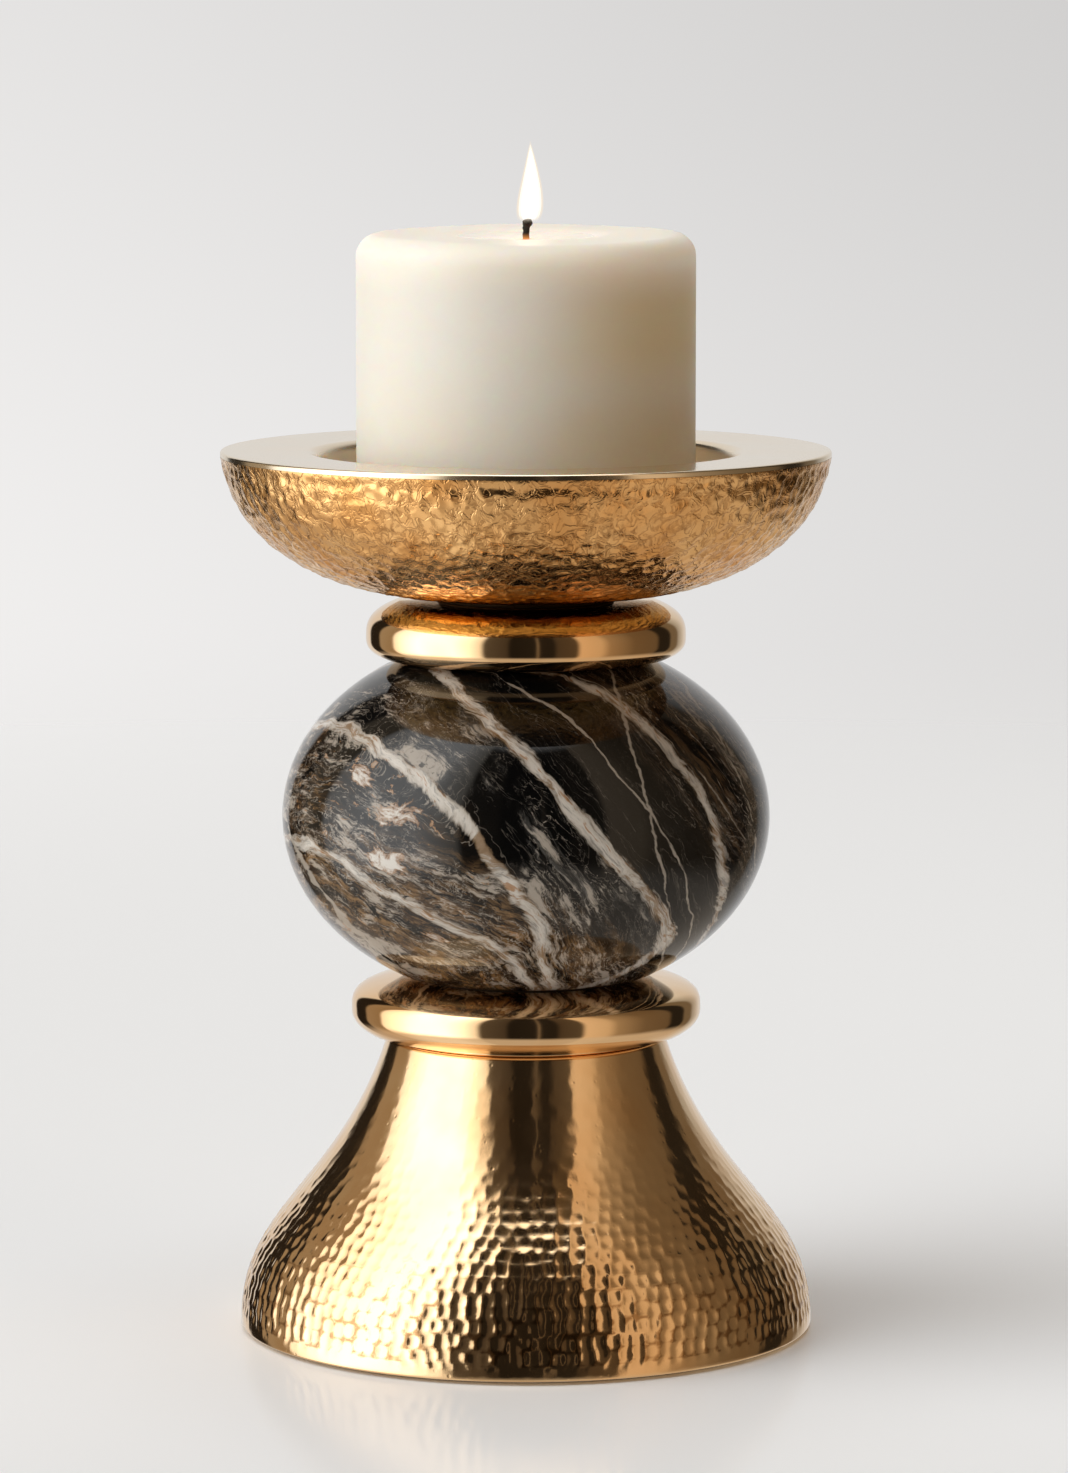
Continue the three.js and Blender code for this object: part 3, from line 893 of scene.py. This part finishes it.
def collar(finish):
    size, bottom, top = radius("base_collar"), low("base_collar"), high("base_collar")
    edge = 0.45
    outline = [
        (ROD_HOLE, bottom),
        *arc(size - edge, bottom + edge, edge, -90, 0, 5),
        *arc(size - edge, top - edge, edge, 0, 90, 5),
        (ROD_HOLE, top),
    ]
    piece = turned("collar", outline, 256)
    return finished(piece, "holder", finish, "polished_brass", "base_collar")


def ring(name, node, hole, belly, dome, dome_power, keel, keel_power, finish):
    """Full-round ring, widest at the height belly, with a domed edge above it and another below.

    dome and keel are the rises of the two edges, each cut off by the ring's flat face."""
    size, bottom, top = radius(node), low(node) - SEAT_GAP, high(node)
    below = flipped(domed_edge(size, keel, keel_power, belly - SEAT_GAP, 22))
    above = domed_edge(size, dome, dome_power, top - bottom - belly, 34)
    edge = raised([*below, *above[1:]], bottom + belly)
    piece = turned(name, [(hole, bottom + SEAT_GAP), *edge, (hole, top)], 384)
    return finished(piece, "holder", finish, "polished_brass", node)


BALL_POLE = 41.5  # height of the whole ellipsoid's half, before its seats are cut
BALL_BORE = 5.0


def marble_ball(finish):
    lo, hi = low("marble_ball"), high("marble_ball")
    size, middle, half = radius("marble_ball"), (lo + hi) / 2, (hi - lo) / 2
    upper = domed_edge(size, BALL_POLE, 2, half, 48)
    side = raised([*flipped(upper), *upper[1:]], middle)
    outline = [(BALL_BORE, lo), *side, (BALL_BORE, hi)]
    piece = turned("marble_ball_polished", outline, 384)
    return finished(piece, "holder", finish, "black_marble", "marble_ball")


# ---------------------------------------------------------------- holder: dish

CRINKLE_DEEP = 0.33  # depth of the bowl's blows
CRINKLE_FINE = 0.09  # and of the finer ones over them
BOWL_FLAT = 2.0
BOWL_WALL = 1.6
BOWL_BELLY = 4.4
BOWL_DRAFT = 2.4
BOWL_SIDE = 20.5
PAN_THICK = 1.2
RIM_ROUND = 0.6
RIM_FLAT = 4.0
RIM_DISH = 0.3
LIP_ROUND = 3.0
WELL_ROUND = 4.0
WELL_LEAN = -12
WELL_CLEARANCE = 2.0
LIP_CLEARANCE = 8.5
BOSS_RADIUS = 8.0
NECK_SINK = 0.05


def bowl_corners():
    bottom = low("dish_bowl")
    rim = high("dish_bowl") - bottom
    size, neck = radius("dish_bowl"), radius("dish_boss")
    floor_edge = radius("candle_wax") + WELL_CLEARANCE
    flat = [
        (neck + BOWL_FLAT, 0),
        (floor_edge + BOWL_BELLY, 0),
        (size - BOWL_DRAFT, rim - BOWL_SIDE),
        (size, rim),
    ]
    return raised(flat, bottom)


def dish_bowl(finish):
    """Bowl under the pan, crinkled by blows of two sizes."""
    bottom, rim = low("dish_bowl"), high("dish_bowl")
    hole = BOSS_RADIUS + SLIP
    corners = bowl_corners()
    outer = cubic(corners, 104)
    inner = [(r, min(z, rim)) for r, z in cubic(corners, 12, BOWL_WALL)]
    outline = [(hole, bottom), *line((hole + 2, bottom), outer[0], 4), *outer, *reversed(inner)]
    outline.append((hole, bottom + BOWL_WALL))
    piece = turned("hammered_bowl", outline, 800)
    points, normals = points_of(piece), normals_of(piece)
    around, angle = round_axis(points)
    length = travelled(outer)
    run = np.interp(around, np.array(outer)[:, 0], length)
    marks = hammer_marks(
        angle, run, around,
        row_pitch=2.8, mark_pitch=2.7, wander=0.85, blow_size=2.1, power=2.0, seed=23,
    )
    fine = hammer_marks(
        angle, run, around,
        row_pitch=1.5, mark_pitch=1.5, wander=0.9, blow_size=1.2, power=2.0, seed=29,
    )
    below = points[:, 2] < height_at(outer, around) + 0.4
    fade = ramp(around, 24, 40) * (1 - ramp(points[:, 2], rim - 1.6, rim - 0.5))
    move = np.where(below, -fade * (CRINKLE_DEEP * marks + CRINKLE_FINE * fine), 0)
    note(piece, "hollow", np.where(below, 1 - fade * (1 - marks * 0.7 - fine * 0.3), 1))
    put_points(piece, points + normals * move[:, None])
    return finished(piece, "holder", finish, "hammered_brass", "dish_bowl")


def height_at(outline, around):
    outline = np.array(outline)
    return np.interp(around, outline[:, 0], outline[:, 1])


def dish_pan(finish):
    """Well, rounded lip and nearly flat rim in one sheet."""
    size, top = radius("dish_pan"), high("dish_pan")
    floor = low("candle_wax") - SEAT_GAP
    floor_edge = radius("candle_wax") + WELL_CLEARANCE - WELL_ROUND
    lip = radius("candle_wax") + LIP_CLEARANCE + LIP_ROUND
    lip_z = top - RIM_DISH - LIP_ROUND
    lip_turn = 180 + WELL_LEAN
    under = top - PAN_THICK
    upper = [
        (0, floor),
        *line((6, floor), (floor_edge, floor), 8),
        *arc(floor_edge, floor + WELL_ROUND, WELL_ROUND, -90, WELL_LEAN, 14),
        *arc(lip, lip_z, LIP_ROUND, lip_turn, 90, 20),
        *line((size - RIM_FLAT - 3, top - 0.04), (size - RIM_FLAT, top), 2),
        *line((size - RIM_FLAT, top), (size - RIM_ROUND, top), 4),
        *arc(size - RIM_ROUND, top - RIM_ROUND, RIM_ROUND, 90, 0, 9),
    ]
    lower = [
        (size, under),
        (size - RIM_FLAT, under),
        *arc(lip, lip_z, LIP_ROUND - PAN_THICK, 90, lip_turn, 10),
        *arc(floor_edge, floor + WELL_ROUND, WELL_ROUND + PAN_THICK, WELL_LEAN, -90, 10),
        (0, floor - PAN_THICK),
    ]
    piece = turned("polished_pan", [*upper, *lower], 512)
    return finished(piece, "holder", finish, "pan_brass", "dish_pan")


def dish_boss(finish):
    """Flange under the dish, and the plain boss that drops into the upper ring."""
    size, bottom, top = radius("dish_boss"), low("dish_boss"), high("dish_boss")
    flange_low = high("upper_ring") + NECK_SINK
    flange_high = low("dish_bowl") - NECK_SINK
    bore, edge, thread = 3.3, 0.35, 9.0
    outline = [
        (0, bottom + thread),
        (bore, bottom + thread),
        (bore, bottom + edge),
        (bore + edge, bottom),
        (BOSS_RADIUS - edge, bottom),
        (BOSS_RADIUS, bottom + edge),
        (BOSS_RADIUS, flange_low),
        *arc(size - edge, flange_low + edge, edge, -90, 0, 4),
        *arc(size - edge, flange_high - edge, edge, 0, 90, 4),
        (BOSS_RADIUS, flange_high),
        (BOSS_RADIUS, top),
        (0, top),
    ]
    piece = turned("dish_boss_turned", outline, 192)
    return finished(piece, "holder", finish, "polished_brass", "dish_boss")


# ---------------------------------------------------------------- candle

CANDLE_ROUND = 5.0
CANDLE_FOOT = 2.2
TAB_POCKET = 0.9
TOP_TILT = 0.75  # the burnt top stands this much higher behind, and this much lower in front
POOL_RADIUS = 17.0
POOL_DEPTH = 1.1


def candle_wax(finish):
    """Pillar with a rounded shoulder, an unevenly settled top and a shallow melt pool."""
    size, bottom, top = radius("candle_wax"), low("candle_wax"), high("candle_wax")
    pocket = radius("wick_tab") + SLIP
    hole = 1.2
    pool_z = top - POOL_DEPTH
    side = line((size, bottom + CANDLE_FOOT), (size, top - CANDLE_ROUND), 24)
    pool = [
        (r, pool_z + POOL_DEPTH * ramp(np.array(r), POOL_RADIUS * 0.62, POOL_RADIUS * 1.15))
        for r in np.linspace(POOL_RADIUS * 1.2, 2.4, 26)
    ]
    outline = [
        (hole, bottom + TAB_POCKET),
        (pocket, bottom + TAB_POCKET),
        (pocket, bottom),
        *arc(size - CANDLE_FOOT, bottom + CANDLE_FOOT, CANDLE_FOOT, -90, -20, 6),
        *side,
        *arc(size - CANDLE_ROUND, top - CANDLE_ROUND, CANDLE_ROUND, 0, 90, 20),
        *line((size - CANDLE_ROUND - 1, top), (POOL_RADIUS * 1.3, top), 6),
        *[(float(r), float(z)) for r, z in pool],
        (hole, pool_z),
    ]
    piece = turned("pillar_candle", outline, 256)
    points = points_of(piece)
    lift = ramp(points[:, 2], top - 14, top - 2) * TOP_TILT * points[:, 1] / (size - CANDLE_ROUND)
    around, angle = round_axis(points)
    slump = 0.16 * np.sin(2 * angle + 0.6) + 0.10 * np.sin(3 * angle + 2.1)
    slump += 0.06 * np.sin(5 * angle)
    shoulder = ramp(points[:, 2], top - 9, top - 1) * ramp(around, 12, 30)
    points[:, 2] += lift + slump * shoulder
    put_points(piece, points)
    return finished(piece, "candle", finish, "ivory_wax", "candle_wax")


def candle_wick(finish):
    """Three braided strands, charred to a mushroom head; the free end leans to the right."""
    bottom, top = low("candle_wick"), high("candle_wick")
    stem = 0.85
    outline = [
        (0, bottom),
        (stem, bottom),
        *line((stem, bottom + 0.5), (stem, top - 2.6), 90),
        *line((0.80, top - 2.6), (0.95, top - 1.7), 6),
        *line((0.95, top - 1.7), (1.16, top - 1.15), 6),
        *arc(0.22, top - 0.95, 0.95, 0, 90, 8),
        (0, top),
    ]
    piece = turned("braided_wick", outline, 48)
    points = points_of(piece)
    out, angle = round_axis(points)
    height = points[:, 2]
    twist = height * 1.9
    braid = 0.16 * np.abs(np.sin(1.5 * angle + twist)) + 0.10 * np.abs(np.sin(1.5 * angle - twist))
    knobs = 0.13 * np.sin(5 * angle + 9 * height) * ramp(height, top - 1.8, top - 1.0)
    scale = np.where(out > 0.05, (out - braid + 0.08 + knobs) / np.maximum(out, 0.05), 1)
    points[:, :2] *= scale[:, None]
    free = np.maximum(0, height - (top - 4.2))
    points[:, 0] += 0.03 * free ** 2
    put_points(piece, points)
    return finished(piece, "candle", finish, "charred_cotton", "candle_wick")


FLAME_TALL = 17.4  # from the wick's top to the flame's tip
FLAME_WIDE = 2.95
FLAME_DIP = 1.9  # the flame starts this far below the wick's top
LAMP_POWER = 0.002
LAMP_RISE = 6  # the lamp hangs this far above the wick's top


def flame_outline(foot, tip, wide):
    """Teardrop: full a third of the way up, drawn out to a point."""
    share = np.linspace(0, 1, 40)
    body = np.sin(np.pi * share ** 0.52) ** 0.9 * (1 - 0.2 * share)
    body = body / body.max() * wide
    return [(float(r), float(z)) for r, z in zip(body, foot + (tip - foot) * share)]


def flame():
    """Three nested layers of light and a small lamp, all riding on the candle."""
    foot = high("candle_wick") - FLAME_DIP
    tip = high("candle_wick") + FLAME_TALL
    # Name, share of the width, colour, brightness, thickness and share of the height.
    layers = (
        ("flame_glow", 1.00, (1.0, 0.80, 0.55), 1.15, 0.22, 1.0),
        ("flame_body", 0.84, (1.0, 0.92, 0.78), 1.5, 0.50, 0.96),
        ("flame_heart", 0.64, (1.0, 0.97, 0.90), 2.6, 0.85, 0.90),
    )
    for name, wide, color, strength, thick, reach in layers:
        layer_tip = foot + (tip - foot) * reach
        layer_foot = foot + (1 - wide) * 2.4
        outline = flame_outline(layer_foot, layer_tip, FLAME_WIDE * wide)
        piece = turned(name, outline, 48)
        points = points_of(piece)
        share = (points[:, 2] - foot) / (tip - foot)
        points[:, 0] += 0.5 + 0.55 * share + 0.35 * np.sin(3.4 * share)
        put_points(piece, points)
        finish = flame_layer(name, color, strength, thick, layer_foot, layer_tip)
        piece.visible_shadow = False
        finished(piece, "candle", finish, "ivory_wax")
    lamp = bpy.data.lights.new("flame_light", "POINT")
    lamp.energy = LAMP_POWER
    lamp.color = (1.0, 0.62, 0.30)
    lamp.shadow_soft_size = 3 * MM
    light = bpy.data.objects.new("flame_light", lamp)
    light.location = (0.5 * MM, 0, (high("candle_wick") + LAMP_RISE) * MM)
    bpy.context.scene.collection.objects.link(light)
    light.parent = frame["bodies"]["candle"]


# ---------------------------------------------------------------- fasteners and hidden pieces

def dress(node, material):
    """A new finish on a CAD node, whose shape stays."""
    mesh = frame["nodes"][node].data
    mesh.materials.clear()
    mesh.materials.append(material)


def hidden_pieces():
    zinc = plated("zinc_plate", (0.62, 0.62, 0.60), (0.48, 0.49, 0.50), 0.22)
    tin = plated("tin_plate", (0.72, 0.72, 0.70), (0.60, 0.60, 0.60), 0.25)
    dress("felt_pad", felt())
    dress("base_cover_plate", board())
    fibre = pressed_fibre()
    for node in ("lower_gasket", "upper_gasket"):
        dress(node, fibre)
    for node in ("tie_rod", "clamp_washer", "lock_washer", "hex_nut"):
        dress(node, zinc)
    dress("wick_tab", tin)


# ---------------------------------------------------------------- studio

# The camera's place and aim in metres, and its lens in millimetres.
CAMERA_AWAY = 1.400
CAMERA_HIGH = 0.312
CAMERA_LENS = 153
AIM = (0.0018, 0.0, 0.1345)

# Brightness of the studio round the object, by degrees from the front towards the right.
STUDIO = (
    (-180, (0.74, 0.735, 0.73)),
    (-152, (0.76, 0.75, 0.74)),
    (-149, (0.02, 0.016, 0.012)),
    (-132, (0.02, 0.016, 0.012)),
    (-129, (0.34, 0.27, 0.19)),
    (-112, (0.30, 0.23, 0.15)),
    (-109, (1.3, 1.27, 1.22)),
    (-84, (2.45, 2.45, 2.43)),
    (-54, (2.45, 2.45, 2.43)),
    (-42, (1.6, 1.53, 1.43)),
    (-33, (1.0, 0.92, 0.80)),
    (-30, (0.09, 0.072, 0.053)),
    (-14, (0.06, 0.046, 0.033)),
    (-11, (0.015, 0.012, 0.009)),
    (7, (0.02, 0.016, 0.012)),
    (8.5, (0.22, 0.17, 0.12)),
    (10, (0.02, 0.016, 0.012)),
    (20, (0.02, 0.016, 0.012)),
    (23, (0.07, 0.052, 0.035)),
    (37, (0.09, 0.068, 0.045)),
    (40, (0.72, 0.55, 0.385)),
    (56, (0.60, 0.456, 0.306)),
    (63, (0.33, 0.242, 0.154)),
    (85, (0.16, 0.115, 0.07)),
    (108, (0.13, 0.093, 0.057)),
    (112, (0.02, 0.016, 0.012)),
    (126, (0.02, 0.016, 0.012)),
    (129, (0.16, 0.125, 0.085)),
    (139, (0.16, 0.125, 0.085)),
    (143, (0.36, 0.35, 0.33)),
    (158, (0.66, 0.65, 0.64)),
    (180, (0.74, 0.735, 0.73)),
)
CEILING = (2.30, 2.28, 2.24)
APRON = (0.62, 0.54, 0.45)
GROUND = (0.26, 0.21, 0.16)


def studio():
    """Softboxes and dark gaps for the object, and a pale backdrop with painted shade for the
    camera.
    """
    world = bpy.data.worlds.new("studio")
    bpy.context.scene.world = world
    shop = Shop(world)
    way = shop.add("ShaderNodeTexCoord", output="Generated")
    x, y, z = shop.split(way)
    turn = x.maths("ARCTAN2", x, 0 - y) / FULL_TURN + 0.5
    stops = [((degrees + 180) / 360, color) for degrees, color in STUDIO]
    walls = shop.ramp(turn, stops)
    around = shop.blend(z.fade(0.90, 0.97), walls, rgba(CEILING))
    around = shop.blend((0 - z).fade(0.30, 0.58) * 0.85, around, rgba(APRON))
    around = shop.blend((0 - z).fade(0.93, 0.99), around, rgba(GROUND))
    # Painted shade on the camera's backdrop: lighter to the left, darker to the right, above the
    # horizon and low down.
    side = (x * 7.0).maths("TANH", x * 7.0)
    level = 0.80 - side * 0.13 - z.fade(-0.11, 0.02) * 0.10 - (1 - z.fade(-0.25, -0.12)) * 0.06
    backdrop = shop.join(level, level * 0.985, level * 0.975)
    seen = shop.add("ShaderNodeLightPath", output="Is Camera Ray")
    color = shop.blend(seen, around, backdrop)
    glow = shop.add("ShaderNodeBackground", None, {"Color": color})
    shop.add("ShaderNodeOutputWorld", None, {"Surface": glow})


FLOOR_RADIUS = 2.4  # metres
FLOOR_SOLID = 420.0  # the floor is whole up to here, and clear from FLOOR_CLEAR outwards
FLOOR_CLEAR = 1500.0


def floor():
    """Pale stage with a slight gloss that fades into the backdrop. Glossy rays pass through it, so
    polished pieces reflect the studio's own apron and ground."""
    deselect()
    bpy.ops.mesh.primitive_circle_add(vertices=96, radius=FLOOR_RADIUS, fill_type="NGON")
    disc = bpy.context.object
    disc.name = "stage_floor"
    material, shop = finish_named("stage_floor")
    out, _ = shop.from_axis(shop.place())
    matt = shop.add("ShaderNodeBsdfDiffuse", None, {"Color": rgba((0.93, 0.95, 0.975))})
    gloss = shop.add("ShaderNodeBsdfGlossy", None, {"Color": rgba(0.9), "Roughness": 0.12})
    body = shop.add("ShaderNodeMixShader", None, {0: 0.10, 1: matt, 2: gloss})
    clear = shop.add("ShaderNodeBsdfTransparent")
    fade = out.fade(FLOOR_SOLID, FLOOR_CLEAR)
    both = shop.add("ShaderNodeMixShader", None, {0: fade, 1: body, 2: clear})
    shop.add("ShaderNodeOutputMaterial", None, {"Surface": both})
    disc.data.materials.append(material)
    disc.visible_glossy = False


def camera():
    eye = bpy.data.cameras.new("camera")
    eye.lens = CAMERA_LENS
    eye.sensor_width = 36
    eye.sensor_fit = "AUTO"
    eye.clip_end = 20
    stand = bpy.data.objects.new("camera", eye)
    stand.location = (0, -CAMERA_AWAY, CAMERA_HIGH)
    look = Vector(AIM) - stand.location
    stand.rotation_euler = look.to_track_quat("-Z", "Y").to_euler()
    bpy.context.scene.collection.objects.link(stand)
    bpy.context.scene.camera = stand
    bpy.context.scene.view_settings.view_transform = "Standard"


# ---------------------------------------------------------------- making it

camera()
studio()
floor()

polish = polished_gold()
hammered_base(hammered_gold())
collar(polish)
ring(
    "lower_ring_turned", "lower_ring", ROD_HOLE,
    belly=5.0, dome=8.0, dome_power=3.4, keel=9.6, keel_power=2.4, finish=polish,
)
marble_ball(marble())
ring(
    "upper_ring_turned", "upper_ring", BOSS_RADIUS + SLIP,
    belly=4.7, dome=10.5, dome_power=2.8, keel=7.0, keel_power=3.0, finish=polish,
)
dish_boss(shadow_gold())
dish_bowl(dish_gold())
dish_pan(pan_gold())
candle_wax(wax())
candle_wick(charred_cotton())
flame()
hidden_pieces()
